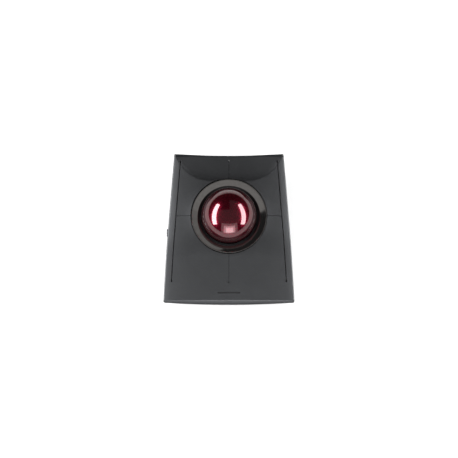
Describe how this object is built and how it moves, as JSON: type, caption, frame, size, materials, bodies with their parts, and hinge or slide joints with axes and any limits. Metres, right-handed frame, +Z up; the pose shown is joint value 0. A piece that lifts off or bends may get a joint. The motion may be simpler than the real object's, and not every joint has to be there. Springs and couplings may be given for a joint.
{
  "type": "trackball mouse",
  "caption": "Low wireless desk trackball with a large ball in a ring, a thin blade-shaped deck split into flexing click panels, and a side mode slider.",
  "frame": {"origin": "centre of the footprint, on the surface the feet rest on", "axes": "+X to the user's right, +Y away from the user, +Z up"},
  "size_m": [0.1306, 0.1499, 0.06],
  "materials": {
    "deck_plastic": "satin dark grey moulded plastic with a fine spark texture",
    "case_plastic": "matt near-black moulded plastic",
    "ball_resin": "deep red metallic-flake resin, polished to a high gloss",
    "ring_gloss": "dark gunmetal glossy bezel",
    "inner_plastic": "black plain plastic",
    "bearing_ceramic": "polished ceramic balls",
    "lens_clear": "clear moulded window",
    "chip_black": "black chip package",
    "circuit_board": "green solder mask over glass laminate",
    "shield_metal": "tinned steel shield",
    "port_steel": "drawn steel port shell",
    "connector_white": "natural white connector plastic",
    "switch_body": "black switch housing",
    "plunger_red": "coloured switch plunger",
    "knob_plastic": "black ribbed slider",
    "battery_wrap": "silvery laminated pouch",
    "lead_sleeve": "thin insulated lead",
    "ballast_steel": "plain steel weight",
    "foot_rubber": "soft black rubber",
    "screw_steel": "zinc plated steel"
  },
  "bodies": {
    "housing": {"top_cover": "deck_plastic", "inner_frame": "inner_plastic", "lower_case": "case_plastic", "ball_ring": "ring_gloss", "ball_cup": "inner_plastic", "support_bearings": "bearing_ceramic", "sensor_lens_left": "lens_clear", "sensor_lens_right": "lens_clear", "motion_sensor_left": "chip_black", "motion_sensor_right": "chip_black", "sensor_board_left": "circuit_board", "sensor_board_right": "circuit_board", "main_board": "circuit_board", "switch_board_left": "circuit_board", "switch_board_right": "circuit_board", "radio_module": "shield_metal", "usb_port": "port_steel", "battery_socket": "connector_white", "microswitch_rear_left": "switch_body", "microswitch_rear_right": "switch_body", "microswitch_front_left": "switch_body", "microswitch_front_right": "switch_body", "slide_switch": "shield_metal", "battery": "battery_wrap", "battery_lead": "lead_sleeve", "ballast_plate": "ballast_steel", "feet": "foot_rubber", "case_screws": "screw_steel", "board_screws": "screw_steel"},
    "panel_rear_left": {"panel_rear_left": "deck_plastic"},
    "panel_rear_right": {"panel_rear_right": "deck_plastic"},
    "panel_front_left": {"panel_front_left": "deck_plastic"},
    "panel_front_right": {"panel_front_right": "deck_plastic"},
    "ball": {"ball": "ball_resin"},
    "mode_knob": {"mode_knob": "knob_plastic"},
    "plunger_rear_left": {"plunger_rear_left": "plunger_red"},
    "plunger_rear_right": {"plunger_rear_right": "plunger_red"},
    "plunger_front_left": {"plunger_front_left": "plunger_red"},
    "plunger_front_right": {"plunger_front_right": "plunger_red"}
  },
  "joints": [
    {"name": "ball_spin", "type": "hinge", "parent": "housing", "child": "ball", "pos_m": [0, 0.0106, 0.0325], "axis": [0, 0, 1], "continuous": true},
    {"name": "press_rear_left", "type": "hinge", "parent": "housing", "child": "panel_rear_left", "pos_m": [-0.025, 0.067, 0.0285], "axis": [1, 0, 0], "range_deg": [0, 0.7], "stiffness_Nm_per_rad": 2.5, "springref_deg": -0.11},
    {"name": "press_rear_right", "type": "hinge", "parent": "housing", "child": "panel_rear_right", "pos_m": [0.025, 0.067, 0.0285], "axis": [1, 0, 0], "range_deg": [0, 0.7], "stiffness_Nm_per_rad": 2.5, "springref_deg": -0.11},
    {"name": "press_front_left", "type": "hinge", "parent": "housing", "child": "panel_front_left", "pos_m": [-0.025, -0.053, 0.0205], "axis": [-1, 0, 0], "range_deg": [0, 0.7], "stiffness_Nm_per_rad": 2.5, "springref_deg": -0.11},
    {"name": "press_front_right", "type": "hinge", "parent": "housing", "child": "panel_front_right", "pos_m": [0.025, -0.053, 0.0205], "axis": [-1, 0, 0], "range_deg": [0, 0.7], "stiffness_Nm_per_rad": 2.5, "springref_deg": -0.11},
    {"name": "plunger_slide_rear_left", "type": "slide", "parent": "housing", "child": "plunger_rear_left", "axis": [0, 0, -1], "range_m": [0, 0.0007]},
    {"name": "plunger_slide_rear_right", "type": "slide", "parent": "housing", "child": "plunger_rear_right", "axis": [0, 0, -1], "range_m": [0, 0.0007]},
    {"name": "plunger_slide_front_left", "type": "slide", "parent": "housing", "child": "plunger_front_left", "axis": [0, 0, -1], "range_m": [0, 0.0007]},
    {"name": "plunger_slide_front_right", "type": "slide", "parent": "housing", "child": "plunger_front_right", "axis": [0, 0, -1], "range_m": [0, 0.0007]},
    {"name": "mode_slide", "type": "slide", "parent": "housing", "child": "mode_knob", "axis": [0, 1, 0], "range_m": [-0.0018, 0.0018]}
  ],
  "couplings": [
    {"joint": "plunger_slide_rear_left", "follows": "press_rear_left", "m_per_rad": 0.044},
    {"joint": "plunger_slide_rear_right", "follows": "press_rear_right", "m_per_rad": 0.044},
    {"joint": "plunger_slide_front_left", "follows": "press_front_left", "m_per_rad": 0.052},
    {"joint": "plunger_slide_front_right", "follows": "press_front_right", "m_per_rad": 0.052}
  ]
}
